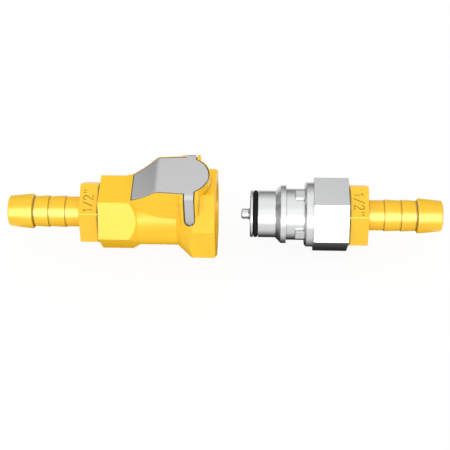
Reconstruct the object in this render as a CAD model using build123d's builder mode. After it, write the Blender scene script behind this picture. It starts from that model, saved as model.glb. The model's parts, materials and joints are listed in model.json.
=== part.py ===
from build123d import *
import os
from math import cos, hypot, pi, radians, sin, sqrt

# Quick coupling for a half-inch hose, pulled apart. Both halves lie on the X axis.
# The origin is the centre of the socket's mouth, the insert lies towards +X, and the latch faces +Z.

# Clearances
RUN = 0.08            # radial, between a piece and what it slides in
SEAT = 0.05           # between faces that nearly touch
MOUTH_GAP = 0.2       # between the closed halves where they stop
COLLAR_GAP = 0.2      # radial, round the insert's collar
FLANGE_GAP = 0.3      # radial, round the insert's flange
NOSE_GAP = 0.15       # radial, round the insert's nose
CONE_GAP = 0.25       # lengthwise, ahead of the insert's cone
NOSE_STOP_GAP = 0.5   # lengthwise, ahead of the insert's nose
PRESS_GAP = 0.1       # under the pressed latch and behind its straps
HEAD_GAP = 0.55       # radial, round each poppet's head
PLUG_GAP = 0.3        # radial, round the insert's poppet where it fills the nose
PAST = 1.0            # how far a cutting shape reaches past what it cuts

# Places and travel of the moving pieces
APART = 13.65         # from the mouth to the nose of the insert, as they lie
LATCH_LIFT = 1.5      # rise of the latch from pressed to locked

# Hose barb
BARB_HEX = 23.7       # across flats
BARB_HEX_LENGTH = 7.9
BARB_HEX_TURN = 18.4  # degrees that the hexagon is turned by
BARB_NECK_R = 6.2
BARB_CREST_R = 6.5
BARB_END_CREST_R = 7.15
BARB_FIRST = 7.2      # from the hexagon to the first crest
BARB_PITCH = 6.85
BARB_COUNT = 3
BARB_LAND = 1.0       # cylindrical land on the last crest
BARB_NOSE = 9.4       # from the last crest to the end
BARB_NOSE_R = 6.3
BARB_TIP = 0.5        # chamfer at the very end
BARB_BORE_R = 4.6
SPIGOT_R = 8.6        # what screws into the half, thread left out
SPIGOT_LENGTH = 6.5
SPIGOT_RING_R = 0.8   # section radius of the ring at the spigot's root
SPIGOT_GROOVE = 2.0

# Insert, measured along it from its nose
NOSE_LIP = 1.15
INSERT_R = 9.6
GROOVE_END = 3.3
NOSE_RING_R = 1.0
NOSE_RING_STAND = 0.04
CONE_START = 10.3
COLLAR_START = 12.5
COLLAR_R = 11.9
COLLAR_END = 14.6
NECK_R = 10.5
LUG_LENGTH = 3.7
LUG_WIDTH = 3.9
LUG_R = 11.8
FLANGE_START = 22.1
FLANGE_R = 13.2
FLANGE_EDGE = 0.8
FLANGE_LENGTH = 3.65
INSERT_HEX = 27.0
INSERT_HEX_LENGTH = 14.05
INSERT_WALL = 0.94    # wall left under the nose ring's groove
INSERT_GUIDE_SEAT = 14.0
NOSE_CHAMFER = 0.4

# Valves
VALVE_LIP = 1.5       # thickness of the wall that each valve closes against
VALVE_STEP = 1.7      # how far that wall reaches into the chamber
WASHER = 0.85         # thickness of the rubber washer on each poppet
HEAD_LENGTH = 2.2
HEAD_CHAMFER = 0.8
HEAD_SHOULDER = 1.2   # seat of the spring on the back of each head
STEM_R = 2.0
STEM_PAST_GUIDE = 3.0
PIN_R = 2.1
PIN_TIP = 0.5         # chamfer of the pin
PIN_FOOT_R = 2.7
PIN_FOOT_LONG = 0.9
PLUG_INSET = 0.1      # face of the plug, behind the nose
PIN_REACH = 3.6       # of the insert's pin, past its nose
BODY_VALVE_REACH = 5.4  # of the socket's poppet nose, ahead of its washer
BODY_NOSE_R = 4.0
VALVE_WIRE_R = 0.45
VALVE_SPRING_R = 4.6  # mean radius of both valve springs
BODY_TURNS = 3
INSERT_TURNS = 5
GUIDE_LENGTH = 2.0
GUIDE_HUB_R = 3.6
GUIDE_RIM = 1.3
GUIDE_SPOKE = 1.8
RING_THICK = 0.8
RING_DEPTH = 0.6      # how far the retaining ring goes into its groove
RING_LAND = 1.3       # how far it stands over the guide
RING_GAP_ANGLE = 40   # opening of the ring, degrees
RING_SPACE = 1.3      # between the ring and the barb's spigot

# Socket body, lengths measured back from the mouth
MOUTH_FLATS = 36.0    # across flats of the octagon
MOUTH_LENGTH = 8.9    # of its corners, before the flare cuts them
MOUTH_EDGE = 0.8
FLARE_LENGTH = 6.9
EDGE_ROUND = 0.3      # long edges of the octagon and of the hexagons
BARREL_R = 13.15
BODY_LENGTH = 47.3
BODY_HEX = 27.0
BODY_HEX_LENGTH = 12.4
BODY_HEX_NECK = 3.3   # cone from the hexagon's corners down to the barrel
GUIDE_BORE_R = 8.65   # takes the guide and the spigot
CHAMBER_STEP = 0.65   # step that the guide seats on

# Latch
PAD_THICK = 1.4
PAD_TOP = 21.75
TAIL_TOP = 14.7       # height of the tail's end
TAIL_END = 33.6       # behind the mouth
TAIL_HALF = 7.05
TAIL_R = 42.0         # radius of the hollow along the tail
TAIL_CORNER = 0.5
BEND = 23.7
BEND_HALF = 9.45
BEND_R = 3.0
HEAD_R = 10.15
HEAD_BACK = 13.1      # centre of the round head, behind the mouth
STRAP_X = 10.2        # centre of the side straps, behind the mouth
STRAP_WIDTH = 3.6
STRAP_THICK = 0.8
STRAP_FACE = 12.8     # outer face of the straps, from the axis
STRAP_END = 6.05      # height of the straps' lower end
STRAP_GAP = 0.5
STRAP_BEND = 2.0      # outer radius where the strap leaves the pad
POCKET_GAP = 0.45
RIM = 0.4             # wall of the housing round the pocket
RIM_DROP = 0.15       # rim below the pad's top
RAMP_END = 36.8       # foot of the housing's sloped front, on the hexagon
BOSS_STAND = 1.1      # wall round each strap, past the strap's face
BOSS_SIDE = 1.4
BOSS_TOP = 19.5       # height where the boss's outer face starts to slope
BOSS_CORNER = 0.9
HOUSING_LOW = 6.0     # how far down the housing runs into the body

# Lock plate
PLATE_THICK = 1.5
PLATE_BACK = 10.75    # its rear face, behind the mouth
PLATE_WALL = 1.8
PLATE_TOP_HALF = 7.5
PLATE_SHOULDER = 5.85
PLATE_SLOPE = 2.0     # height of the sloping shoulders under its top

# Latch springs
SPRING_R = 2.1
SPRING_WIRE_R = 0.3
SPRING_TURNS = 6
SPRING_HOLE_R = 2.7
SPRING_DEPTH = 8.4
SPRING_SPREAD = 5.5   # from the middle plane
SPRING_X = 18.4       # behind the mouth

# Worked out from the sizes above
groove_r = INSERT_R + NOSE_RING_STAND - 2 * NOSE_RING_R
insert_chamber_r = groove_r - INSERT_WALL
insert_mouth_r = insert_chamber_r - VALVE_STEP
insert_end = FLANGE_START + FLANGE_LENGTH + INSERT_HEX_LENGTH
barb_length = BARB_HEX_LENGTH + BARB_FIRST + BARB_PITCH * (BARB_COUNT - 1) + BARB_NOSE
counterbore = FLANGE_LENGTH - SEAT
closed_nose = -(counterbore - MOUTH_GAP) - FLANGE_START
bore_r = COLLAR_R + COLLAR_GAP
mouth_bore_r = FLANGE_R + FLANGE_GAP
seal_bore_r = INSERT_R + NOSE_GAP
seat_start = closed_nose + CONE_START - CONE_GAP
seat_end = closed_nose + COLLAR_START - CONE_GAP
nose_stop = closed_nose - NOSE_STOP_GAP
valve_seat = nose_stop - VALVE_LIP
chamber_r = GUIDE_BORE_R - CHAMBER_STEP
body_mouth_r = chamber_r - VALVE_STEP
guide_seat = -(BODY_LENGTH - SPIGOT_LENGTH - RING_SPACE - RING_THICK - GUIDE_LENGTH)
pad_bottom = PAD_TOP - PAD_THICK
pocket_floor = pad_bottom - PRESS_GAP
rim_top = PAD_TOP - RIM_DROP
rim_grow = POCKET_GAP + RIM
half_mouth = MOUTH_FLATS / 2
plate_r = bore_r + PLATE_WALL
strap_inner = STRAP_FACE - STRAP_THICK
slot_half = STRAP_WIDTH / 2 + STRAP_GAP
tail_run = TAIL_END - BEND
tail_drop = PAD_TOP - TAIL_TOP
tail_chord = hypot(tail_run, tail_drop)
tail_stand = sqrt(TAIL_R**2 - tail_chord**2 / 4)
tail_centre_x = -(TAIL_END + BEND) / 2 - tail_stand * tail_drop / tail_chord
tail_centre_z = (PAD_TOP + TAIL_TOP) / 2 + tail_stand * tail_run / tail_chord

os.makedirs("parts", exist_ok=True)


def save(part, label):
    """Write one piece to its own file."""
    part.label = label
    export_step(part, f"parts/{label}.step")
    print(label, round(part.volume, 1))


def turned(points):
    """Solid of revolution about X from a closed outline of (x, r) points."""
    with BuildPart() as made:
        with BuildSketch(Plane.XZ):
            with BuildLine():
                Polyline(*points, close=True)
            make_face()
        revolve(axis=Axis.X)
    return made.part


def prism(x_start, x_end, sides, flats, turn):
    """Prism along X with softened long edges."""
    with BuildPart() as made:
        with BuildSketch(Plane.YZ.offset(x_start)) as section:
            RegularPolygon(flats / 2, sides, major_radius=False, rotation=turn)
            fillet(section.vertices(), EDGE_ROUND)
        extrude(amount=x_end - x_start)
    return made.part


def coned_prism(x_face, x_corners, x_root, sides, flats, turn):
    """Prism from x_face whose corners run out at x_corners, into a cone down to the barrel at x_root."""
    corner_r = flats / 2 / cos(pi / sides)
    past_x = x_corners - (x_root - x_corners) * PAST / (corner_r - BARREL_R)
    past_r = corner_r + PAST
    with BuildPart() as made:
        add(prism(min(x_face, x_root), max(x_face, x_root), sides, flats, turn))
        add(
            turned([(x_face, 0), (x_face, past_r), (past_x, past_r), (x_root, BARREL_R), (x_root, 0)]),
            mode=Mode.INTERSECT,
        )
    return made.part


def hose_barb(shoulder, way):
    """Hose barb that seats at x = shoulder and points along way (1 or -1)."""
    hex_end = BARB_HEX_LENGTH
    outline = [(-SPIGOT_LENGTH, BARB_BORE_R), (-SPIGOT_LENGTH, SPIGOT_R), (-SPIGOT_GROOVE, SPIGOT_R)]
    root_r = SPIGOT_R - 2 * SPIGOT_RING_R
    outline += [(-SPIGOT_GROOVE, root_r), (0, root_r), (hex_end, root_r), (hex_end, BARB_NECK_R)]
    for number in range(BARB_COUNT):
        crest_at = hex_end + BARB_FIRST + BARB_PITCH * number
        last = number == BARB_COUNT - 1
        crest_r = BARB_END_CREST_R if last else BARB_CREST_R
        land = BARB_LAND if last else BARB_LAND / 2
        outline.append((crest_at - land, BARB_NECK_R))
        outline += [(crest_at - land / 2, crest_r), (crest_at + land / 2, crest_r)]
    outline += [(barb_length - BARB_TIP, BARB_NOSE_R), (barb_length, BARB_NOSE_R - BARB_TIP)]
    outline += [(barb_length, BARB_BORE_R)]
    with BuildPart() as made:
        add(turned([(shoulder + way * x, r) for x, r in outline]))
        ends = sorted((shoulder, shoulder + way * hex_end))
        add(prism(ends[0], ends[1], 6, BARB_HEX, BARB_HEX_TURN))
        with Locations(Plane(origin=(shoulder - SPIGOT_LENGTH * way, 0, 0), z_dir=(way, 0, 0))):
            Cylinder(
                BARB_BORE_R,
                barb_length + SPIGOT_LENGTH,
                align=(Align.CENTER, Align.CENTER, Align.MIN),
                mode=Mode.SUBTRACT,
            )
    return made.part


def rubber_ring(x, ring_r, section_r):
    """Round-section ring about X."""
    with BuildPart() as made:
        with BuildSketch(Plane.XZ):
            with Locations((x, ring_r)):
                Circle(section_r)
        revolve(axis=Axis.X)
    return made.part


def coil_spring(start, direction, length, coil_r, wire_r, turns):
    """Open coil from start along direction, just clear of both its seats."""
    foot = Vector(*start) + Vector(*direction) * (wire_r + SEAT)
    rise = length - 2 * (wire_r + SEAT)
    with BuildPart() as made:
        with BuildLine():
            coil = Helix(pitch=rise / turns, height=rise, radius=coil_r, center=foot, direction=direction)
        with BuildSketch(Plane(origin=coil @ 0, z_dir=coil % 0)):
            RegularPolygon(wire_r, 8)
        sweep(is_frenet=True)
    return made.part


def valve_guide(x_start, x_end):
    """Spider that carries a poppet's stem."""
    outer_r = GUIDE_BORE_R - SEAT
    with BuildPart() as made:
        with BuildSketch(Plane.YZ.offset(x_start)):
            Circle(outer_r)
            Circle(outer_r - GUIDE_RIM, mode=Mode.SUBTRACT)
            Circle(GUIDE_HUB_R)
            with PolarLocations(0, 3):
                Rectangle(outer_r - GUIDE_RIM / 2, GUIDE_SPOKE, align=(Align.MIN, Align.CENTER))
            Circle(STEM_R + RUN, mode=Mode.SUBTRACT)
        extrude(amount=x_end - x_start)
    return made.part


def retaining_ring(x_start):
    """Open spring ring in its groove, holding the guide."""
    outer_r = GUIDE_BORE_R + RING_DEPTH - SEAT
    inner_r = GUIDE_BORE_R - RING_LAND
    with BuildPart() as made:
        with BuildSketch(Plane.YZ.offset(x_start)):
            Circle(outer_r)
            Circle(inner_r, mode=Mode.SUBTRACT)
            opening = 2 * outer_r * sin(radians(RING_GAP_ANGLE / 2))
            Rectangle(opening, outer_r + PAST, align=(Align.CENTER, Align.MAX), mode=Mode.SUBTRACT)
        extrude(amount=RING_THICK)
    return made.part


def washer(x_start, inner_r, outer_r):
    """Flat rubber washer on a poppet."""
    with BuildPart() as made:
        with BuildSketch(Plane.YZ.offset(x_start)):
            Circle(outer_r)
            Circle(inner_r, mode=Mode.SUBTRACT)
        extrude(amount=WASHER)
    return made.part


def pad_outline(grow):
    """Plan of the latch pad, grown by a margin."""
    with BuildSketch() as plan:
        with BuildLine():
            half = Polyline(
                (-TAIL_END, 0),
                (-TAIL_END, TAIL_HALF),
                (-BEND, BEND_HALF),
                (-HEAD_BACK, HEAD_R),
            )
            head = ThreePointArc(
                (-HEAD_BACK, HEAD_R),
                (-HEAD_BACK + HEAD_R * sin(radians(45)), HEAD_R * cos(radians(45))),
                (-HEAD_BACK + HEAD_R, 0),
            )
            mirror(half, about=Plane.XZ)
            mirror(head, about=Plane.XZ)
        make_face()
        fillet(plan.vertices().group_by(Axis.X)[0], TAIL_CORNER)
        if grow:
            offset(amount=grow)
    return plan.sketch


def tail_top(behind):
    """Height of the latch's upper face behind its bend, where it is slightly hollow."""
    return tail_centre_z - sqrt(TAIL_R**2 - (behind + tail_centre_x) ** 2)


def side_profile(drop, back, ramp=False):
    """Side view, X across and Z up, of all that lies below the latch's upper face lowered by drop."""
    end = (-back, tail_top(back) - drop)
    middle = (back + BEND) / 2
    bend = (-BEND, PAD_TOP - drop)
    foot = [(-RAMP_END, 0), (-RAMP_END, BODY_HEX / 2)] if ramp else [(-back, 0)]
    with BuildSketch() as profile:
        with BuildLine():
            ThreePointArc(end, (-middle, tail_top(middle) - drop), bend)
            Polyline(bend, (PAST, PAD_TOP - drop), (PAST, 0), *foot, end)
        make_face()
        fillet(profile.vertices().sort_by_distance((*bend, 0))[0], BEND_R)
    return profile.sketch


def under(drop, back, ramp=False):
    """Everything below the latch's upper face lowered by drop, with or without the housing's sloped front."""
    with BuildPart() as made:
        with BuildSketch(Plane.XZ.offset(-half_mouth)):
            add(side_profile(drop, back, ramp))
        extrude(amount=MOUTH_FLATS)
    return made.part


def strap_boss():
    """Walls round both side straps, whose shoulders slope down from the rim."""
    face = STRAP_FACE + BOSS_STAND
    rim_half = HEAD_R + rim_grow
    half_long = slot_half + BOSS_SIDE
    with BuildPart() as made:
        with BuildSketch(Plane.YZ.offset(-STRAP_X - half_long)):
            with BuildLine():
                Polyline(
                    (-face, 0),
                    (-face, BOSS_TOP),
                    (-rim_half, rim_top),
                    (rim_half, rim_top),
                    (face, BOSS_TOP),
                    (face, 0),
                    close=True,
                )
            make_face()
        extrude(amount=2 * half_long)
        fillet(made.edges().filter_by(Axis.Z), BOSS_CORNER)
    return made.part


def latch_housing():
    """Raised housing of the latch, with its sloped front on the hexagon and the strap bosses."""
    with BuildPart() as made:
        with BuildSketch(Plane.XY.offset(HOUSING_LOW)):
            add(pad_outline(rim_grow))
            with Locations((-TAIL_END, 0)):
                Rectangle(RAMP_END - TAIL_END, 2 * (TAIL_HALF + rim_grow), align=(Align.MAX, Align.CENTER))
        extrude(amount=PAD_TOP - HOUSING_LOW)
        add(under(RIM_DROP, TAIL_END + rim_grow, ramp=True), mode=Mode.INTERSECT)
        add(strap_boss())
    return made.part


def latch_pocket():
    """Space that the pad lies in."""
    with BuildPart() as made:
        with BuildSketch():
            add(pad_outline(POCKET_GAP))
        extrude(amount=PAD_TOP + LATCH_LIFT)
        add(under(PAD_TOP - pocket_floor, TAIL_END + POCKET_GAP + PAST), mode=Mode.SUBTRACT)
    return made.part


def strap_slot(side):
    """Recess of one strap, sunk square to the slanted side of the octagon."""
    low = STRAP_END - STRAP_GAP
    floor = strap_inner - PRESS_GAP
    with BuildPart() as made:
        middle = Plane(origin=(-STRAP_X, side * STRAP_FACE, low), x_dir=(1, 0, 0), z_dir=(0, side, 1))
        up = -side
        with BuildSketch(middle.offset(-half_mouth)):
            with Locations((0, up * slot_half)):
                Circle(slot_half)
            with Locations((0, up * (slot_half + half_mouth / 2))):
                Rectangle(2 * slot_half, half_mouth)
        extrude(amount=MOUTH_FLATS)
        with Locations((-STRAP_X, side * floor, 0)):
            keep = (Align.CENTER, Align.MIN if side > 0 else Align.MAX, Align.MIN)
            Box(4 * slot_half, half_mouth, PAD_TOP + LATCH_LIFT, align=keep, mode=Mode.INTERSECT)
        top_middle = (STRAP_FACE + HEAD_R / 2) / 2
        with Locations((-STRAP_X, side * top_middle, pocket_floor)):
            above = (Align.CENTER, Align.CENTER, Align.MIN)
            Box(2 * slot_half, STRAP_FACE - HEAD_R / 2, PAD_TOP, align=above)
    return made.part


def strap(side):
    """One side strap, bent down from the pad's edge, with a rounded end."""
    with BuildPart() as made:
        with BuildSketch(Plane.YZ.offset(-STRAP_X - STRAP_WIDTH / 2)) as section:
            with BuildLine():
                Polyline(
                    (side * HEAD_R / 2, PAD_TOP),
                    (side * STRAP_FACE, PAD_TOP),
                    (side * STRAP_FACE, STRAP_END),
                    (side * strap_inner, STRAP_END),
                    (side * strap_inner, pad_bottom),
                    (side * HEAD_R / 2, pad_bottom),
                    close=True,
                )
            make_face()
            outer = section.vertices().sort_by_distance((side * STRAP_FACE, PAD_TOP, 0))[0]
            fillet(outer, STRAP_BEND)
        extrude(amount=STRAP_WIDTH)
        with BuildSketch(Plane.XZ.offset(-half_mouth)):
            with Locations((-STRAP_X, STRAP_END + STRAP_WIDTH / 2)):
                Circle(STRAP_WIDTH / 2)
                Rectangle(STRAP_WIDTH, PAD_TOP, align=(Align.CENTER, Align.MIN))
        extrude(amount=MOUTH_FLATS, mode=Mode.INTERSECT)
    return made.part


def plate_plan(grow, rise):
    """Outline of the lock plate, Y across and Z up, grown by a margin and stretched by its travel."""
    with BuildSketch() as plan:
        Circle(plate_r + grow)
        if rise:
            with Locations((0, rise)):
                Circle(plate_r + grow)
        with Locations((0, PLATE_SHOULDER + rise)):
            Rectangle(3 * plate_r, 3 * plate_r, align=(Align.CENTER, Align.MIN), mode=Mode.SUBTRACT)
        with BuildLine():
            Polyline(
                (-strap_inner - grow, 0),
                (-strap_inner - grow, bore_r + rise),
                (-PLATE_TOP_HALF - grow, bore_r + rise + PLATE_SLOPE),
                (-PLATE_TOP_HALF - grow, pad_bottom),
                (PLATE_TOP_HALF + grow, pad_bottom),
                (PLATE_TOP_HALF + grow, bore_r + rise + PLATE_SLOPE),
                (strap_inner + grow, bore_r + rise),
                (strap_inner + grow, 0),
                close=True,
            )
        make_face()
    return plan.sketch


# Socket body: hexagon end, barrel and octagon mouth, then the latch housing
with BuildPart() as coupler_body:
    hex_corners = -BODY_LENGTH + BODY_HEX_LENGTH
    flare_start = -MOUTH_LENGTH - FLARE_LENGTH
    add(coned_prism(-BODY_LENGTH, hex_corners, hex_corners + BODY_HEX_NECK, 6, BODY_HEX, 0))
    add(coned_prism(0, -MOUTH_LENGTH, flare_start, 8, MOUTH_FLATS, 22.5))
    add(turned([(-BODY_LENGTH, 0), (-BODY_LENGTH, BARREL_R), (-MOUTH_LENGTH, BARREL_R), (-MOUTH_LENGTH, 0)]))
    mouth_rim = coupler_body.edges().group_by(Axis.X)[-1]
    fillet(mouth_rim, MOUTH_EDGE)
    add(latch_housing())
    # Bores, from the mouth back to the barb
    add(
        turned(
            [
                (PAST, 0),
                (PAST, mouth_bore_r),
                (-counterbore, mouth_bore_r),
                (-counterbore, bore_r),
                (seat_end, bore_r),
                (seat_start, seal_bore_r),
                (nose_stop, seal_bore_r),
                (nose_stop, body_mouth_r),
                (valve_seat, body_mouth_r),
                (valve_seat, chamber_r),
                (guide_seat, chamber_r),
                (guide_seat, GUIDE_BORE_R),
                (-BODY_LENGTH - PAST, GUIDE_BORE_R),
                (-BODY_LENGTH - PAST, 0),
            ]
        ),
        mode=Mode.SUBTRACT,
    )
    with BuildSketch(Plane.YZ.offset(guide_seat - GUIDE_LENGTH + SEAT)):
        Circle(GUIDE_BORE_R + RING_DEPTH)
    extrude(amount=-RING_THICK - 2 * SEAT, mode=Mode.SUBTRACT)
    # Latch pocket, strap slots, slot of the lock plate and holes of the springs
    add(latch_pocket(), mode=Mode.SUBTRACT)
    add(strap_slot(1), mode=Mode.SUBTRACT)
    add(strap_slot(-1), mode=Mode.SUBTRACT)
    with BuildSketch(Plane.YZ.offset(-PLATE_BACK - RUN)):
        add(plate_plan(RUN, LATCH_LIFT + RUN))
    extrude(amount=PLATE_THICK + 2 * RUN, mode=Mode.SUBTRACT)
    with BuildSketch(Plane.XY.offset(pocket_floor - SPRING_DEPTH)):
        with Locations((-SPRING_X, SPRING_SPREAD), (-SPRING_X, -SPRING_SPREAD)):
            Circle(SPRING_HOLE_R)
    extrude(amount=SPRING_DEPTH + PAST, mode=Mode.SUBTRACT)
save(coupler_body.part, "coupler_body")

# Thumb latch: one bent sheet with a round head and two straps
with BuildPart() as thumb_latch:
    with BuildSketch():
        add(pad_outline(0))
    extrude(amount=PAD_TOP + PAST)
    add(under(0, TAIL_END + PAST), mode=Mode.INTERSECT)
    add(under(PAD_THICK, TAIL_END + PAST), mode=Mode.SUBTRACT)
    add(strap(1))
    add(strap(-1))
save(thumb_latch.part, "thumb_latch")

# Lock plate, whose hole the insert passes, clipped under the latch
with BuildPart() as lock_plate:
    with BuildSketch(Plane.YZ.offset(-PLATE_BACK)):
        add(plate_plan(0, 0))
        Circle(bore_r, mode=Mode.SUBTRACT)
    extrude(amount=PLATE_THICK)
save(lock_plate.part, "lock_plate")

# Latch springs, in blind holes under the pad
for spring_name, spring_y in (("latch_spring_left", SPRING_SPREAD), ("latch_spring_right", -SPRING_SPREAD)):
    spring_foot = (-SPRING_X, spring_y, pocket_floor - SPRING_DEPTH)
    spring_length = SPRING_DEPTH + pad_bottom - pocket_floor
    save(
        coil_spring(spring_foot, (0, 0, 1), spring_length, SPRING_R, SPRING_WIRE_R, SPRING_TURNS),
        spring_name,
    )

# Hose barbs of both halves, with the ring at the root of each spigot
barb_shoulders = {"body": (-BODY_LENGTH, -1), "insert": (APART + insert_end, 1)}
for half, (shoulder, way) in barb_shoulders.items():
    save(hose_barb(shoulder, way), f"{half}_hose_barb")
    ring_at = shoulder - way * (SPIGOT_GROOVE / 2)
    save(rubber_ring(ring_at, SPIGOT_R - SPIGOT_RING_R, SPIGOT_RING_R - SEAT / 2), f"{half}_barb_seal")

# Guides and their retaining rings
guide_seats = {"body": (guide_seat, -1), "insert": (APART + INSERT_GUIDE_SEAT, 1)}
for half, (seat, way) in guide_seats.items():
    guide_end = seat + way * GUIDE_LENGTH
    save(valve_guide(min(seat, guide_end), max(seat, guide_end)), f"{half}_valve_guide")
    ring_end = guide_end + way * RING_THICK
    save(retaining_ring(min(guide_end, ring_end)), f"{half}_retaining_ring")

# Poppet of the socket: a nose ahead of its washer, a head and a stem
body_washer = valve_seat - SEAT
body_head = body_washer - WASHER
body_head_back = body_head - HEAD_LENGTH
body_nose = body_washer + BODY_VALVE_REACH
body_head_r = chamber_r - HEAD_GAP
body_stem_end = guide_seat - GUIDE_LENGTH - STEM_PAST_GUIDE
with BuildPart() as body_valve_poppet:
    add(
        turned(
            [
                (body_nose, 0),
                (body_nose, BODY_NOSE_R - PIN_TIP),
                (body_nose - PIN_TIP, BODY_NOSE_R),
                (body_head, BODY_NOSE_R),
                (body_head, body_head_r),
                (body_head_back + HEAD_CHAMFER, body_head_r),
                (body_head_back, body_head_r - HEAD_SHOULDER),
                (body_head_back, STEM_R),
                (body_stem_end, STEM_R),
                (body_stem_end, 0),
            ]
        )
    )
save(body_valve_poppet.part, "body_valve_poppet")
save(washer(body_head, BODY_NOSE_R, body_head_r), "body_valve_seal")
body_spring_length = body_head_back - guide_seat
save(
    coil_spring((guide_seat, 0, 0), (1, 0, 0), body_spring_length, VALVE_SPRING_R, VALVE_WIRE_R, BODY_TURNS),
    "body_valve_spring",
)

# Insert body: nose, cone, collar, neck with lugs, flange and hexagon, bored through
with BuildPart() as insert_body:
    nose = APART
    insert_outline = [
        (0, 0),
        (0, INSERT_R - NOSE_CHAMFER),
        (NOSE_CHAMFER, INSERT_R),
        (NOSE_LIP, INSERT_R),
        (NOSE_LIP, groove_r),
        (GROOVE_END, groove_r),
        (GROOVE_END, INSERT_R),
        (CONE_START, INSERT_R),
        (COLLAR_START, COLLAR_R),
        (COLLAR_END, COLLAR_R),
        (COLLAR_END, NECK_R),
        (FLANGE_START, NECK_R),
        (FLANGE_START, FLANGE_R - FLANGE_EDGE),
        (FLANGE_START + FLANGE_EDGE, FLANGE_R),
        (FLANGE_START + FLANGE_LENGTH, FLANGE_R),
        (FLANGE_START + FLANGE_LENGTH, 0),
    ]
    add(turned([(nose + x, r) for x, r in insert_outline]))
    insert_hex_start = nose + FLANGE_START + FLANGE_LENGTH
    add(prism(insert_hex_start, nose + insert_end, 6, INSERT_HEX, 0))
    with BuildSketch(Plane.YZ.offset(nose + FLANGE_START - LUG_LENGTH)):
        with PolarLocations(0, 4):
            Rectangle(LUG_R, LUG_WIDTH, align=(Align.MIN, Align.CENTER))
    extrude(amount=LUG_LENGTH)
    insert_bore = [
        (-PAST, 0),
        (-PAST, insert_mouth_r),
        (VALVE_LIP, insert_mouth_r),
        (VALVE_LIP, insert_chamber_r),
        (INSERT_GUIDE_SEAT, insert_chamber_r),
        (INSERT_GUIDE_SEAT, GUIDE_BORE_R),
        (insert_end + PAST, GUIDE_BORE_R),
        (insert_end + PAST, 0),
    ]
    add(turned([(nose + x, r) for x, r in insert_bore]), mode=Mode.SUBTRACT)
    with BuildSketch(Plane.YZ.offset(nose + INSERT_GUIDE_SEAT + GUIDE_LENGTH - SEAT)):
        Circle(GUIDE_BORE_R + RING_DEPTH)
    extrude(amount=RING_THICK + 2 * SEAT, mode=Mode.SUBTRACT)
save(insert_body.part, "insert_body")
nose_ring_at = APART + (NOSE_LIP + GROOVE_END) / 2
save(rubber_ring(nose_ring_at, INSERT_R + NOSE_RING_STAND - NOSE_RING_R, NOSE_RING_R), "nose_ring")

# Poppet of the insert, with the pin that stands out of the nose
insert_washer = APART + VALVE_LIP + SEAT
insert_head = insert_washer + WASHER
insert_head_back = insert_head + HEAD_LENGTH
insert_head_r = insert_chamber_r - HEAD_GAP
insert_stem_end = APART + INSERT_GUIDE_SEAT + GUIDE_LENGTH + STEM_PAST_GUIDE
plug_r = insert_mouth_r - PLUG_GAP
with BuildPart() as insert_valve_poppet:
    face = APART + PLUG_INSET
    tip = APART - PIN_REACH
    add(
        turned(
            [
                (tip, 0),
                (tip, PIN_R - PIN_TIP),
                (tip + PIN_TIP, PIN_R),
                (face - PIN_FOOT_LONG, PIN_R),
                (face, PIN_FOOT_R),
                (face, plug_r),
                (insert_head, plug_r),
                (insert_head, insert_head_r),
                (insert_head_back - HEAD_CHAMFER, insert_head_r),
                (insert_head_back, insert_head_r - HEAD_SHOULDER),
                (insert_head_back, STEM_R),
                (insert_stem_end, STEM_R),
                (insert_stem_end, 0),
            ]
        )
    )
save(insert_valve_poppet.part, "insert_valve_poppet")
save(washer(insert_washer, plug_r, insert_head_r), "insert_valve_seal")
insert_spring_length = APART + INSERT_GUIDE_SEAT - insert_head_back
save(
    coil_spring(
        (insert_head_back, 0, 0), (1, 0, 0), insert_spring_length, VALVE_SPRING_R, VALVE_WIRE_R, INSERT_TURNS
    ),
    "insert_valve_spring",
)
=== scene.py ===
import json
import math

import bpy
from mathutils import Matrix, Vector


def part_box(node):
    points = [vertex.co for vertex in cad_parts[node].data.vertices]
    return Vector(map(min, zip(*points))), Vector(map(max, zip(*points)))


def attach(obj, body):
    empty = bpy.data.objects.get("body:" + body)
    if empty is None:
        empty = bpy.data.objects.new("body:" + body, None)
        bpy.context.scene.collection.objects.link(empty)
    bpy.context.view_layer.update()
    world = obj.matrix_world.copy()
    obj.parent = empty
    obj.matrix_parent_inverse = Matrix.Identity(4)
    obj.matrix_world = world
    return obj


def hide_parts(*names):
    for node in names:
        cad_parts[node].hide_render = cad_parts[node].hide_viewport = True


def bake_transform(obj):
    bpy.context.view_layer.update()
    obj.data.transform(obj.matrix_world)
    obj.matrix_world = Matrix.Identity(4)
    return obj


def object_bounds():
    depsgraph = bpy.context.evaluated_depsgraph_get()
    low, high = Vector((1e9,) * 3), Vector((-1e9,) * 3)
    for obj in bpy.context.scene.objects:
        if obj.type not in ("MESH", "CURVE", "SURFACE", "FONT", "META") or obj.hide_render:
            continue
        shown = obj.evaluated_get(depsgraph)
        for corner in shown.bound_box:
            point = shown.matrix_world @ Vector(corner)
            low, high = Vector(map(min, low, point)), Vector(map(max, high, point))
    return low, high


# All lengths are in metres, and all angles in degrees
MM = 0.001

# View of the photograph: both halves side by side, seen from above and a little from the
# insert's side
VIEW_ELEVATION = 46.8
VIEW_AZIMUTH = 3.0
VIEW_DISTANCE = 480 * MM
FRAME_PIXELS = 450
MM_PER_PIXEL = 0.411
AXIS_PIXEL_X = 217.0       # where the socket's mouth stands in the frame
AXIS_PIXEL_Y = 213.2
ROLL = -1.43               # turn of the camera about its own axis
FRAME_MIDDLE = FRAME_PIXELS / 2
SENSOR_WIDTH = 36.0        # in millimetres, as cameras give it
NEAREST = 0.01
FARTHEST = 20

# Light: even surroundings, a broad softbox in front and a panel overhead
AMBIENT = 0.86
LAMP_DISTANCE = 0.75
SOFTBOX_ELEVATION = 33
SOFTBOX_SIZE = (1.2, 1.0)
SOFTBOX_LEVEL = 0.36
PANEL_ELEVATION = 90
PANEL_SIZE = (1.2, 1.0)
PANEL_LEVEL = 0.26

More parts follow.
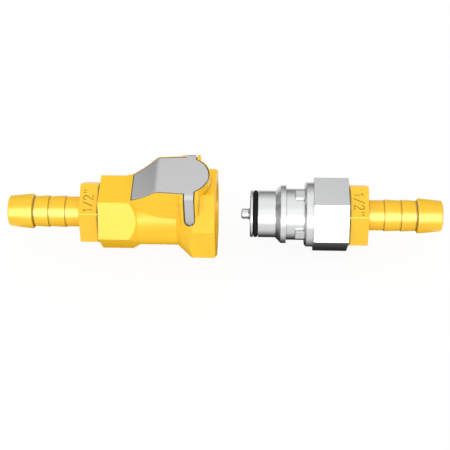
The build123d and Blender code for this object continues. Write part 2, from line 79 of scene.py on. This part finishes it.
# Strips in front that shine in gloss only: narrow for the socket's body and the bright
# metal, broad for the barbs
STRIP_ELEVATION = 19
STRIP_SIZE = (1.0, 0.24)
BODY_STRIP_LEVEL = 6.0
CHROME_STRIP_LEVEL = 4.0
BARB_STRIP_ELEVATION = 33
BARB_STRIP_SIZE = (1.0, 0.7)
BARB_STRIP_LEVEL = 9.5

# Floor
FLOOR_SIZE = 6
FLOOR_GREY = 0.96
FLOOR_GLOW = 0.93          # share of the floor that shows plain white
FLOOR_GAP = 0.05 * MM      # between the floor and the flat that the socket stands on

# Dark cards that only reflections show: one round the back, darkest low down, and a painted
# shade under the object that stands in for its shadow
CARD_RADIUS = 0.16
CARD_LOW = -0.02
CARD_HIGH = 0.17
CARD_GREY = 0.18
CARD_SWEEP = 148           # from the insert's side towards the socket's side
CARD_STEPS = 24
SHADE_CORE = 10 * MM
SHADE_REACH = 28 * MM
SHADE_LIFT = 0.2 * MM
SHADE_GREY = 0.01

WHITE = (1.0, 1.0, 1.0, 1.0)
BRASS_YELLOW = (0.99, 0.585, 0.004, 1.0)
BRASS_DEEP = (0.97, 0.545, 0.002, 1.0)
LATCH_GREY = (0.61, 0.61, 0.615, 1.0)
CHROME_GREY = (0.63, 0.635, 0.64, 1.0)
VALVE_GREY = (0.62, 0.625, 0.63, 1.0)
SPRING_GREY = (0.45, 0.45, 0.46, 1.0)
RUBBER_BLACK = (0.002, 0.002, 0.002, 1.0)
MARK_BROWN = (0.10, 0.05, 0.006, 1.0)
INNER_BRASS = (0.62, 0.42, 0.14, 1.0)

# Edges of every finish, and the shade painted into its gaps and inner corners
EDGE_SOFTNESS = 0.25 * MM  # how far the light runs round a sharp edge
EDGE_SAMPLES = 6
CORNER_SAMPLES = 8
PAINTED_GAP_SHADE = (1.2 * MM, 0.3, 0.72)     # reach of the painted shade in a gap, how open its two ends are
PAINTED_CREST_SHADE = (1.0 * MM, 0.78, 0.97)  # the same for the painted shade in the shallow corners at the barbs' crests

# Grain: its scale and how tightly it repeats along X, Y and Z
EVEN = (1.0, 1.0, 1.0)
GRAIN_DETAIL = 3.0
TONE_SPAN = (0.35, 0.65)   # part of the grain over which one tone turns into the other

# Brass: its turning marks and slow tint, its gloss, and how much of it shines as bare metal
BRASS_MARKS = (900, (6.0, 0.6, 0.6))
BRASS_TINT = (60, EVEN)
BRASS_TINT_SPAN = (0.3, 0.5)
BRASS_ROUGHNESS = (0.34, 0.42)
BRASS_RELIEF = (0.02 * MM, 0.12)      # height and strength
BRASS_UNDER_PAINTED_SHADE = 0.06       # share of the colour left where the painted shade is deepest in a gap
BODY_METAL = 0.06
BARB_METAL = 0.1
BARB_VARNISH = 1.0
VARNISH_ROUGHNESS = 0.38
PLAIN_SPECULAR = 0.5

# Steel and plating
STEEL_SCALE = 1400
STEEL_DARKER = 0.9         # tone of the darker grain
STEEL_RELIEF = (0.01 * MM, 0.1)
CHROME_MARKS = (1200, (8.0, 0.5, 0.5))
CHROME_DARKER = 0.97
CHROME_ROUGHNESS = (0.25, 0.31)
CHROME_RELIEF = (0.01 * MM, 0.02)
# share of the colour left where the painted shade is deepest in a gap
METAL_UNDER_PAINTED_SHADE = 0.3

# Satin metals: colour, roughness, grain along X, Y and Z, and share of bare metal
SATIN_METALS = {
    "latch_steel": (LATCH_GREY, (0.32, 0.4), (0.4, 5.0, 5.0), 0.8),
    "plate_steel": (VALVE_GREY, (0.3, 0.4), (1.0, 4.0, 0.5), 1.0),
    "spring_steel": (SPRING_GREY, (0.25, 0.35), EVEN, 1.0),
    "valve_steel": (VALVE_GREY, (0.22, 0.32), (6.0, 1.0, 1.0), 1.0),
    "guide_brass": (INNER_BRASS, (0.3, 0.4), EVEN, 1.0),
}

# Seal rubber
RUBBER_DUST = (2500, EVEN)
RUBBER_LIGHTER = 2.2
RUBBER_ROUGHNESS = (0.6, 0.75)
RUBBER_SPECULAR = 0.2
RUBBER_RELIEF = (0.02 * MM, 0.15)

# Size mark engraved on each barb's hexagon: strokes along the reading line and up, in
# letter heights
MARK_HEIGHT = 3.9 * MM
MARK_STROKE = 0.24 * MM
MARK_DEPTH = 0.04 * MM
MARK_STROKES = (
    ((0.00, 0.74), (0.12, 0.84), (0.20, 1.00), (0.20, 0.00)),
    ((0.62, -0.06), (1.12, 1.06)),
    (
        (1.38, 0.72), (1.42, 0.90), (1.56, 1.00), (1.72, 0.98), (1.84, 0.84), (1.82, 0.64),
        (1.36, 0.02), (1.88, 0.00),
    ),
    ((2.22, 1.02), (2.20, 0.76)),
    ((2.48, 1.02), (2.46, 0.76)),
)
MARK_MIDDLE = 1.24         # middle of the strokes, in letter heights
MARK_SHIFT = -0.8 * MM     # from the middle of the face towards its lower edge
MARK_DIRT = (1500, EVEN)
MARK_LIGHTER = 1.6
MARK_ROUGHNESS = 0.6
BODY_MARK_X = -51.6 * MM
INSERT_MARK_X = 57.4 * MM
BARB_FACE_ELEVATION = 71.6
BARB_FACE_R = 11.85 * MM

# Coil springs: name, node, axis, turns, wire radius, and the bodies that the low and the
# high end press on
VALVE_WIRE_R = 0.45 * MM
LATCH_WIRE_R = 0.3 * MM
COILS = (
    ("body_valve_coil", "body_valve_spring", 0, 3, VALVE_WIRE_R, "coupler", "body_valve"),
    ("insert_valve_coil", "insert_valve_spring", 0, 5, VALVE_WIRE_R, "insert_valve", "insert"),
    ("left_latch_coil", "latch_spring_left", 2, 6, LATCH_WIRE_R, "coupler", "latch"),
    ("right_latch_coil", "latch_spring_right", 2, 6, LATCH_WIRE_R, "coupler", "latch"),
)
COIL_STEPS = 32            # per turn
WIRE_SIDES = 12


def toned(colour, share):
    """The same colour, lighter or darker."""
    return tuple(part * share for part in colour[:3]) + (1.0,)


def empty_material(name):
    """Node material with nothing but its output."""
    material = bpy.data.materials.new(name)
    material.use_nodes = True
    tree = material.node_tree
    tree.nodes.clear()
    return material, tree, tree.nodes.new("ShaderNodeOutputMaterial")


def new_finish(name):
    """Material with its main shader in place."""
    material, tree, output = empty_material(name)
    shader = tree.nodes.new("ShaderNodeBsdfPrincipled")
    tree.links.new(shader.outputs["BSDF"], output.inputs["Surface"])
    return material, tree, shader


def grain(tree, scale, stretch):
    """Noise in object space, drawn out along one axis."""
    place = tree.nodes.new("ShaderNodeTexCoord")
    mapping = tree.nodes.new("ShaderNodeMapping")
    mapping.inputs["Scale"].default_value = stretch
    noise = tree.nodes.new("ShaderNodeTexNoise")
    noise.inputs["Scale"].default_value = scale
    noise.inputs["Detail"].default_value = GRAIN_DETAIL
    tree.links.new(place.outputs["Object"], mapping.inputs["Vector"])
    tree.links.new(mapping.outputs["Vector"], noise.inputs["Vector"])
    return noise


def tone_from(tree, noise, low, high, span=TONE_SPAN):
    """Blend of two colours driven by a noise."""
    ramp = tree.nodes.new("ShaderNodeValToRGB")
    for stop, position, colour in zip(ramp.color_ramp.elements, span, (low, high)):
        stop.position = position
        stop.color = colour
    tree.links.new(noise.outputs["Fac"], ramp.inputs["Fac"])
    return ramp.outputs["Color"]


def roughness_from(tree, noise, shader, span):
    """Roughness that follows a noise."""
    spread = tree.nodes.new("ShaderNodeMapRange")
    spread.inputs["To Min"].default_value = span[0]
    spread.inputs["To Max"].default_value = span[1]
    tree.links.new(noise.outputs["Fac"], spread.inputs["Value"])
    tree.links.new(spread.outputs["Result"], shader.inputs["Roughness"])


def relief_from(tree, noise, shader, relief):
    """Fine relief driven by a noise, on edges that catch the light as broken ones do."""
    edges = tree.nodes.new("ShaderNodeBevel")
    edges.samples = EDGE_SAMPLES
    edges.inputs["Radius"].default_value = EDGE_SOFTNESS
    bump = tree.nodes.new("ShaderNodeBump")
    bump.inputs["Distance"].default_value = relief[0]
    bump.inputs["Strength"].default_value = relief[1]
    tree.links.new(edges.outputs["Normal"], bump.inputs["Normal"])
    tree.links.new(noise.outputs["Fac"], bump.inputs["Height"])
    tree.links.new(bump.outputs["Normal"], shader.inputs["Normal"])


def paint_gap_shade(tree, colour, shader, share, shade=PAINTED_GAP_SHADE):
    """Painted shade: base colour that goes down to a share of itself in the inner corners and
    gaps, where shade falls.
    """
    corner = tree.nodes.new("ShaderNodeAmbientOcclusion")
    corner.samples = CORNER_SAMPLES
    corner.inputs["Distance"].default_value = shade[0]
    open_part = tree.nodes.new("ShaderNodeMapRange")
    open_part.inputs["From Min"].default_value = shade[1]
    open_part.inputs["From Max"].default_value = shade[2]
    open_part.inputs["To Min"].default_value = share
    open_part.inputs["To Max"].default_value = 1.0
    shaded = tree.nodes.new("ShaderNodeVectorMath")
    shaded.operation = "SCALE"
    tree.links.new(corner.outputs["AO"], open_part.inputs["Value"])
    tree.links.new(colour, shaded.inputs[0])
    tree.links.new(open_part.outputs["Result"], shaded.inputs["Scale"])
    tree.links.new(shaded.outputs["Vector"], shader.inputs["Base Color"])


def yellow_brass(name, metal, varnish, shade=PAINTED_GAP_SHADE):
    """Bright yellow brass with a satin finish and faint turning marks."""
    material, tree, shader = new_finish(name)
    marks = grain(tree, *BRASS_MARKS)
    tint = grain(tree, *BRASS_TINT)
    tone = tone_from(tree, tint, BRASS_DEEP, BRASS_YELLOW, BRASS_TINT_SPAN)
    # painted shade in the gaps and inner corners, or at the barbs' crests
    paint_gap_shade(tree, tone, shader, BRASS_UNDER_PAINTED_SHADE, shade)
    roughness_from(tree, marks, shader, BRASS_ROUGHNESS)
    relief_from(tree, marks, shader, BRASS_RELIEF)
    shader.inputs["Metallic"].default_value = metal
    shader.inputs["Coat Weight"].default_value = varnish
    shader.inputs["Coat Roughness"].default_value = VARNISH_ROUGHNESS
    shader.inputs["Specular IOR Level"].default_value = PLAIN_SPECULAR * (1 - varnish)
    return material


def satin_metal(name):
    """Drawn or turned metal with a fine grain."""
    colour, roughness, stretch, metal = SATIN_METALS[name]
    material, tree, shader = new_finish(name)
    lines = grain(tree, STEEL_SCALE, stretch)
    tone = tone_from(tree, lines, toned(colour, STEEL_DARKER), colour)
    # painted shade in the gaps and inner corners
    paint_gap_shade(tree, tone, shader, METAL_UNDER_PAINTED_SHADE)
    roughness_from(tree, lines, shader, roughness)
    relief_from(tree, lines, shader, STEEL_RELIEF)
    shader.inputs["Metallic"].default_value = metal
    return material


def bright_chrome():
    """Polished plating with faint turning marks."""
    material, tree, shader = new_finish("bright_chrome")
    marks = grain(tree, *CHROME_MARKS)
    tone = tone_from(tree, marks, toned(CHROME_GREY, CHROME_DARKER), CHROME_GREY)
    # painted shade in the gaps and inner corners
    paint_gap_shade(tree, tone, shader, METAL_UNDER_PAINTED_SHADE)
    roughness_from(tree, marks, shader, CHROME_ROUGHNESS)
    relief_from(tree, marks, shader, CHROME_RELIEF)
    shader.inputs["Metallic"].default_value = 1.0
    return material


def black_rubber():
    """Matt black seal rubber."""
    material, tree, shader = new_finish("black_rubber")
    dust = grain(tree, *RUBBER_DUST)
    tone = tone_from(tree, dust, RUBBER_BLACK, toned(RUBBER_BLACK, RUBBER_LIGHTER))
    tree.links.new(tone, shader.inputs["Base Color"])
    roughness_from(tree, dust, shader, RUBBER_ROUGHNESS)
    relief_from(tree, dust, shader, RUBBER_RELIEF)
    shader.inputs["Specular IOR Level"].default_value = RUBBER_SPECULAR
    return material


def dark_mark():
    """Brown floor of the engraved strokes."""
    material, tree, shader = new_finish("dark_mark")
    dirt = grain(tree, *MARK_DIRT)
    tone = tone_from(tree, dirt, MARK_BROWN, toned(MARK_BROWN, MARK_LIGHTER))
    tree.links.new(tone, shader.inputs["Base Color"])
    shader.inputs["Roughness"].default_value = MARK_ROUGHNESS
    return material


def dress(finishes):
    """Gives each CAD node its own finish, or else that of its material slot."""
    for entry in frame["record"]["subparts"]:
        name = entry["node"]
        node = frame["nodes"][name]
        node.data.materials.clear()
        node.data.materials.append(finishes.get(name) or finishes[entry["material_slot"]])
        node.visible_glossy = entry["material_slot"] != "yellow_brass"


def shape_tree(name, inputs, output):
    """Node tree with named inputs, each with its kind, and one shape as its output."""
    tree = bpy.data.node_groups.new(name, "GeometryNodeTree")
    for label, kind in inputs:
        tree.interface.new_socket(label, in_out="INPUT", socket_type="NodeSocket" + kind)
    tree.interface.new_socket(output, in_out="OUTPUT", socket_type="NodeSocketGeometry")
    return tree, tree.nodes.new("NodeGroupInput")


def swept(tree, source, path, section, output):
    """Ends a node tree: the section runs along the path, closed at its ends, in its finish."""
    sweep = tree.nodes.new("GeometryNodeCurveToMesh")
    sweep.inputs["Fill Caps"].default_value = True
    whole = tree.nodes.new("GeometryNodeRealizeInstances")
    finish = tree.nodes.new("GeometryNodeSetMaterial")
    result = tree.nodes.new("NodeGroupOutput")
    tree.links.new(path.outputs["Curve"], sweep.inputs["Curve"])
    tree.links.new(section.outputs["Curve"], sweep.inputs["Profile Curve"])
    tree.links.new(sweep.outputs["Mesh"], whole.inputs["Geometry"])
    tree.links.new(whole.outputs["Geometry"], finish.inputs["Geometry"])
    tree.links.new(source.outputs["Finish"], finish.inputs["Material"])
    tree.links.new(finish.outputs["Geometry"], result.inputs[output])


def mark_tree():
    """Node tree that gives every stroke of a size mark its width and depth."""
    tree, source = shape_tree("size_mark_strokes", (
        ("Strokes", "Geometry"), ("Stroke Width", "Float"), ("Stroke Depth", "Float"),
        ("Finish", "Material"),
    ), "Mark")
    level = tree.nodes.new("GeometryNodeSetCurveNormal")
    level.mode = "Z_UP"
    section = tree.nodes.new("GeometryNodeCurvePrimitiveQuadrilateral")
    tree.links.new(source.outputs["Strokes"], level.inputs["Curve"])
    tree.links.new(source.outputs["Stroke Width"], section.inputs["Width"])
    tree.links.new(source.outputs["Stroke Depth"], section.inputs["Height"])
    swept(tree, source, level, section, "Mark")
    return tree


def coil_tree():
    """Node tree of an open coil spring that stands along its Z axis."""
    tree, source = shape_tree("coil_spring", (
        ("Coil Radius", "Float"), ("Wire Radius", "Float"), ("Rise", "Float"),
        ("Turns", "Float"), ("Finish", "Material"),
    ), "Coil")
    turns = tree.nodes.new("GeometryNodeCurveSpiral")
    turns.inputs["Resolution"].default_value = COIL_STEPS
    wire = tree.nodes.new("GeometryNodeCurvePrimitiveCircle")
    wire.inputs["Resolution"].default_value = WIRE_SIDES
    for label in ("Start Radius", "End Radius"):
        tree.links.new(source.outputs["Coil Radius"], turns.inputs[label])
    tree.links.new(source.outputs["Rise"], turns.inputs["Height"])
    tree.links.new(source.outputs["Turns"], turns.inputs["Rotations"])
    tree.links.new(source.outputs["Wire Radius"], wire.inputs["Radius"])
    swept(tree, source, turns, wire, "Coil")
    return tree


def made_by(tree, name, data, values):
    """Plain mesh that a node tree makes from some data, with its inputs set by name."""
    holder = bpy.data.objects.new(name, data)
    bpy.context.scene.collection.objects.link(holder)
    modifier = holder.modifiers.new(name, "NODES")
    modifier.node_group = tree
    for item in tree.interface.items_tree:
        if item.item_type == "SOCKET" and item.in_out == "INPUT" and item.name in values:
            modifier[item.identifier] = values[item.name]
    shaped = holder.evaluated_get(bpy.context.evaluated_depsgraph_get())
    mesh = bpy.data.meshes.new_from_object(shaped)
    bpy.data.objects.remove(holder)
    mesh.name = name
    return mesh


def size_mark(name, body, tree, finish, middle, reading, upright, outward):
    """Hose size, in plain engraved strokes on one face of a barb's hexagon."""
    line = bpy.data.curves.new(name, "CURVE")
    line.dimensions = "3D"
    for stroke in MARK_STROKES:
        spline = line.splines.new("POLY")
        spline.points.add(len(stroke) - 1)
        for point, (along, up) in zip(spline.points, stroke):
            point.co = ((along - MARK_MIDDLE) * MARK_HEIGHT, (up - 0.5) * MARK_HEIGHT, 0.0, 1.0)
    mesh = made_by(tree, name, line, {
        "Stroke Width": MARK_STROKE, "Stroke Depth": MARK_DEPTH, "Finish": finish,
    })
    turn = Matrix((reading, upright, outward)).transposed()
    mesh.transform(Matrix.Translation(middle) @ turn.to_4x4())
    mark = bpy.data.objects.new(name, mesh)
    bpy.context.scene.collection.objects.link(mark)
    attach(mark, body)


def size_marks():
    """The hose size on the upper front face of both barbs' hexagons."""
    tree = mark_tree()
    finish = dark_mark()
    facing = math.radians(BARB_FACE_ELEVATION)
    outward = Vector((0, -math.cos(facing), math.sin(facing)))
    rise = Vector((0, math.sin(facing), math.cos(facing)))
    along = Vector((1, 0, 0))
    middle = outward * BARB_FACE_R + rise * MARK_SHIFT
    size_mark(
        "body_size_mark", "coupler", tree, finish,
        middle + along * BODY_MARK_X, rise, -along, outward,
    )
    size_mark(
        "insert_size_mark", "insert", tree, finish,
        middle + along * INSERT_MARK_X, -rise, along, outward,
    )


def coil_springs(finish):
    """Springs of both valves and of the latch, as wire coils that span the CAD springs and take
    their place."""
    tree = coil_tree()
    for name, node, axis, turns, wire_r, low_body, high_body in COILS:
        low, high = (Vector(corner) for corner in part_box(node))
        foot = (low + high) / 2
        head = foot.copy()
        foot[axis] = low[axis]
        head[axis] = high[axis]
        along = (head - foot).normalized()
        sideways = Vector((0, 1, 0))
        turn = Matrix((sideways, along.cross(sideways), along)).transposed()
        mesh = made_by(tree, name, bpy.data.meshes.new(name), {
            "Coil Radius": (high.y - low.y) / 2 - wire_r, "Wire Radius": wire_r,
            "Rise": (head - foot).length - 2 * wire_r, "Turns": float(turns), "Finish": finish,
        })
        mesh.transform(Matrix.Translation(foot + along * wire_r) @ turn.to_4x4())
        mesh.shade_smooth()
        coil = bpy.data.objects.new(name, mesh)
        bpy.context.scene.collection.objects.link(coil)
        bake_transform(coil)
        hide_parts(node)


def glow_where_seen(tree, white, other, share):
    """Plain white for the eye and for reflections, and another shader for the rest of the
    light."""
    path = tree.nodes.new("ShaderNodeLightPath")
    seen = path.outputs["Is Camera Ray"]
    for kind in ("Is Glossy Ray", "Is Transmission Ray"):
        either = tree.nodes.new("ShaderNodeMath")
        either.operation = "MAXIMUM"
        tree.links.new(seen, either.inputs[0])
        tree.links.new(path.outputs[kind], either.inputs[1])
        seen = either.outputs["Value"]
    part = tree.nodes.new("ShaderNodeMath")
    part.operation = "MULTIPLY"
    part.inputs[1].default_value = share
    mix = tree.nodes.new("ShaderNodeMixShader")
    tree.links.new(seen, part.inputs[0])
    tree.links.new(part.outputs["Value"], mix.inputs["Fac"])
    tree.links.new(other, mix.inputs[1])
    tree.links.new(white, mix.inputs[2])
    return mix.outputs["Shader"]


def pale_floor(height):
    """Floor that shows white and keeps the object's shadow."""
    bpy.ops.mesh.primitive_plane_add(size=FLOOR_SIZE, location=(0, 0, height))
    floor = bpy.context.active_object
    floor.name = "floor"
    material, tree, output = empty_material("pale_floor")
    matt = tree.nodes.new("ShaderNodeBsdfDiffuse")
    matt.inputs["Color"].default_value = toned(WHITE, FLOOR_GREY)
    glow = tree.nodes.new("ShaderNodeEmission")
    shown = glow_where_seen(tree, glow.outputs["Emission"], matt.outputs["BSDF"], FLOOR_GLOW)
    tree.links.new(shown, output.inputs["Surface"])
    floor.data.materials.append(material)


def surroundings():
    """World that looks white and lights the object at a plain level."""
    world = bpy.data.worlds.new("surroundings")
    bpy.context.scene.world = world
    world.use_nodes = True
    tree = world.node_tree
    tree.nodes.clear()
    output = tree.nodes.new("ShaderNodeOutputWorld")
    around = tree.nodes.new("ShaderNodeBackground")
    around.inputs["Color"].default_value = WHITE
    around.inputs["Strength"].default_value = AMBIENT
    behind = tree.nodes.new("ShaderNodeBackground")
    behind.inputs["Color"].default_value = WHITE
    behind.inputs["Strength"].default_value = 1.0
    shown = glow_where_seen(
        tree, behind.outputs["Background"], around.outputs["Background"], 1.0,
    )
    tree.links.new(shown, output.inputs["Surface"])


def card_finish(name, grey, axis, solid_at, clear_at):
    """Dark card that fades out from one distance along an axis to another."""
    material, tree, output = empty_material(name)
    place = tree.nodes.new("ShaderNodeTexCoord")
    split = tree.nodes.new("ShaderNodeSeparateXYZ")
    away = tree.nodes.new("ShaderNodeMath")
    away.operation = "ABSOLUTE"
    fade = tree.nodes.new("ShaderNodeMapRange")
    fade.inputs["From Min"].default_value = solid_at
    fade.inputs["From Max"].default_value = clear_at
    dark = tree.nodes.new("ShaderNodeEmission")
    dark.inputs["Color"].default_value = toned(WHITE, grey)
    clear = tree.nodes.new("ShaderNodeBsdfTransparent")
    mix = tree.nodes.new("ShaderNodeMixShader")
    tree.links.new(place.outputs["Object"], split.inputs["Vector"])
    tree.links.new(split.outputs[axis], away.inputs[0])
    tree.links.new(away.outputs["Value"], fade.inputs["Value"])
    tree.links.new(fade.outputs["Result"], mix.inputs["Fac"])
    tree.links.new(dark.outputs["Emission"], mix.inputs[1])
    tree.links.new(clear.outputs["BSDF"], mix.inputs[2])
    tree.links.new(mix.outputs["Shader"], output.inputs["Surface"])
    return material


def reflected_card(name, points, faces, material):
    """Stage card that shows in reflections and nowhere else."""
    mesh = bpy.data.meshes.new(name)
    mesh.from_pydata(points, [], faces)
    mesh.materials.append(material)
    card = bpy.data.objects.new(name, mesh)
    bpy.context.scene.collection.objects.link(card)
    card.visible_camera = False
    card.visible_diffuse = False
    card.visible_transmission = False
    card.visible_volume_scatter = False
    card.visible_shadow = False


def back_card():
    """Dark card round the back, which draws the upper edges of the bright metal."""
    points = []
    faces = []
    for step in range(CARD_STEPS + 1):
        turn = math.radians(CARD_SWEEP) * step / CARD_STEPS
        x = CARD_RADIUS * math.cos(turn)
        y = CARD_RADIUS * math.sin(turn)
        points += [(x, y, CARD_LOW), (x, y, CARD_HIGH)]
        if step:
            k = 2 * step
            faces.append((k - 2, k, k + 1, k - 1))
    finish = card_finish("dark_card", CARD_GREY, "Z", 0.0, CARD_HIGH)
    reflected_card("back_card", points, faces, finish)


def shade_card(low, high):
    """Soft dark patch under the object: painted shade that its bright undersides reflect in
    place of its shadow.
    """
    z = low[2] + SHADE_LIFT
    points = [
        (low[0], -SHADE_REACH, z), (high[0], -SHADE_REACH, z),
        (high[0], SHADE_REACH, z), (low[0], SHADE_REACH, z),
    ]
    finish = card_finish("shade", SHADE_GREY, "Y", SHADE_CORE, SHADE_REACH)
    reflected_card("shade_card", points, [(0, 1, 2, 3)], finish)


def direction(azimuth, elevation):
    """Unit vector from the object towards a place around it; azimuth 0 is the viewer's side."""
    a = math.radians(azimuth)
    e = math.radians(elevation)
    return Vector((math.sin(a) * math.cos(e), -math.cos(a) * math.cos(e), math.sin(e)))


def lamp(name, elevation, size, level):
    """Rectangular soft lamp in front of the object; its level is what a mirror would show."""
    width, height = size
    light = bpy.data.lights.new(name, "AREA")
    light.shape = "RECTANGLE"
    light.size = width
    light.size_y = height
    light.energy = level * math.pi * width * height
    holder = bpy.data.objects.new(name, light)
    towards = direction(0, elevation)
    across = Vector((1, 0, 0))
    turn = Matrix((across, towards.cross(across), towards)).transposed()
    holder.matrix_world = Matrix.Translation(towards * LAMP_DISTANCE) @ turn.to_4x4()
    bpy.context.scene.collection.objects.link(holder)
    return holder


def gloss_strip(name, elevation, size, level, names):
    """Lamp that only shines in the gloss of the nodes named."""
    holder = lamp(name, elevation, size, level)
    holder.visible_diffuse = False
    reached = bpy.data.collections.new(name + "_reaches")
    for node in names:
        reached.objects.link(frame["nodes"][node])
    holder.light_linking.receiver_collection = reached


def studio(low, high):
    """Pale floor, white surroundings, soft lamps and the cards that the metal reflects."""
    pale_floor(low[2] - FLOOR_GAP)
    surroundings()
    bright_metal = [
        entry["node"] for entry in frame["record"]["subparts"]
        if entry["material_slot"] not in ("yellow_brass", "latch_steel")
    ]
    gloss_strip("body_strip", STRIP_ELEVATION, STRIP_SIZE, BODY_STRIP_LEVEL, ["coupler_body"])
    gloss_strip("chrome_strip", STRIP_ELEVATION, STRIP_SIZE, CHROME_STRIP_LEVEL, bright_metal)
    gloss_strip(
        "barb_strip", BARB_STRIP_ELEVATION, BARB_STRIP_SIZE, BARB_STRIP_LEVEL,
        ["body_hose_barb", "insert_hose_barb"],
    )
    lamp("front_softbox", SOFTBOX_ELEVATION, SOFTBOX_SIZE, SOFTBOX_LEVEL)
    lamp("top_panel", PANEL_ELEVATION, PANEL_SIZE, PANEL_LEVEL)
    back_card()
    shade_card(low, high)


def photo_camera():
    """Camera at the photograph's place and angle."""
    data = bpy.data.cameras.new("photo_camera")
    data.sensor_width = SENSOR_WIDTH
    data.sensor_fit = "HORIZONTAL"
    data.lens = SENSOR_WIDTH * VIEW_DISTANCE / (FRAME_PIXELS * MM_PER_PIXEL * MM)
    data.clip_start = NEAREST
    data.clip_end = FARTHEST
    camera = bpy.data.objects.new("photo_camera", data)
    back = direction(VIEW_AZIMUTH, VIEW_ELEVATION)
    level = Vector((0, 0, 1)).cross(back).normalized()
    roll = Matrix.Rotation(math.radians(ROLL), 3, back)
    right = roll @ level
    up = roll @ back.cross(level).normalized()
    across = (FRAME_MIDDLE - AXIS_PIXEL_X) * MM_PER_PIXEL * MM
    drop = (FRAME_MIDDLE - AXIS_PIXEL_Y) * MM_PER_PIXEL * MM
    aim = right * across - up * drop
    turn = Matrix((right, up, back)).transposed()
    camera.matrix_world = Matrix.Translation(aim + back * VIEW_DISTANCE) @ turn.to_4x4()
    bpy.context.scene.collection.objects.link(camera)
    bpy.context.scene.camera = camera


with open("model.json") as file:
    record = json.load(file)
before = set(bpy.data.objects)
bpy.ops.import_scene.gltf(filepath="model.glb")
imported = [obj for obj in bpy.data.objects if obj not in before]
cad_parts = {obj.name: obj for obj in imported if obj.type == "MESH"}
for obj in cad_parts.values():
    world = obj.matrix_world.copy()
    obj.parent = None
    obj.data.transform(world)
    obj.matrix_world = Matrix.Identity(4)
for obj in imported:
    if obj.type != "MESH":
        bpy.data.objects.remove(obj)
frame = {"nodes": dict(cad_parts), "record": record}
cad_low, cad_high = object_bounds()
# the barbs carry painted shade as dark lines in the shallow corners at their crests
barb_brass = yellow_brass("barb_brass", BARB_METAL, BARB_VARNISH, PAINTED_CREST_SHADE)
finishes = {
    "yellow_brass": yellow_brass("yellow_brass", BODY_METAL, 0.0),
    "body_hose_barb": barb_brass,
    "insert_hose_barb": barb_brass,
    "bright_chrome": bright_chrome(),
    "black_rubber": black_rubber(),
}
for name in SATIN_METALS:
    finishes[name] = satin_metal(name)
dress(finishes)
size_marks()
coil_springs(finishes["spring_steel"])
studio(cad_low, cad_high)
photo_camera()
bpy.context.scene.view_settings.view_transform = "Standard"
